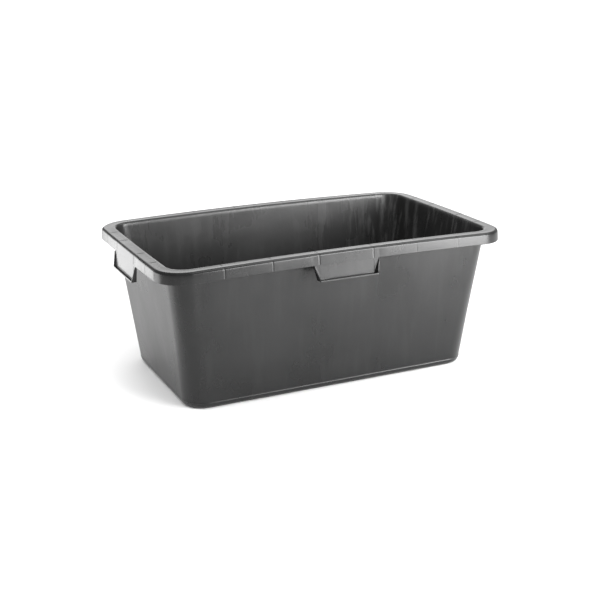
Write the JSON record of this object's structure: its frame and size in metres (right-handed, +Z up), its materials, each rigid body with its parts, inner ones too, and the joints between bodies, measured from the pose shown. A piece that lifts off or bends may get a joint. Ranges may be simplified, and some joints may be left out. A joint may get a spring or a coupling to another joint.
{
  "type": "mortar mixing tub",
  "caption": "Open rectangular mixing tub with drafted walls, rounded corners, a flat rim with a turned-down ribbed skirt, and a lipped finger grip in the middle of each side.",
  "frame": {"origin": "on the ground, under the middle of the tub", "axes": "+X along the long side, +Y towards the rear long side, +Z up out of the mouth"},
  "size_m": [0.801, 0.515, 0.312],
  "materials": {
    "tub_plastic": "satin"
  },
  "bodies": {
    "root": {"floor_panel": "tub_plastic", "front_wall": "tub_plastic", "right_wall": "tub_plastic", "rear_wall": "tub_plastic", "left_wall": "tub_plastic", "front_left_corner": "tub_plastic", "front_right_corner": "tub_plastic", "rear_right_corner": "tub_plastic", "rear_left_corner": "tub_plastic", "front_rim": "tub_plastic", "right_rim": "tub_plastic", "rear_rim": "tub_plastic", "left_rim": "tub_plastic", "front_left_rim_corner": "tub_plastic", "front_right_rim_corner": "tub_plastic", "rear_right_rim_corner": "tub_plastic", "rear_left_rim_corner": "tub_plastic", "front_rim_ribs": "tub_plastic", "right_rim_ribs": "tub_plastic", "rear_rim_ribs": "tub_plastic", "left_rim_ribs": "tub_plastic", "front_grip": "tub_plastic", "front_grip_lip": "tub_plastic", "right_grip": "tub_plastic", "right_grip_lip": "tub_plastic", "rear_grip": "tub_plastic", "rear_grip_lip": "tub_plastic", "left_grip": "tub_plastic", "left_grip_lip": "tub_plastic"}
  },
  "joints": []
}
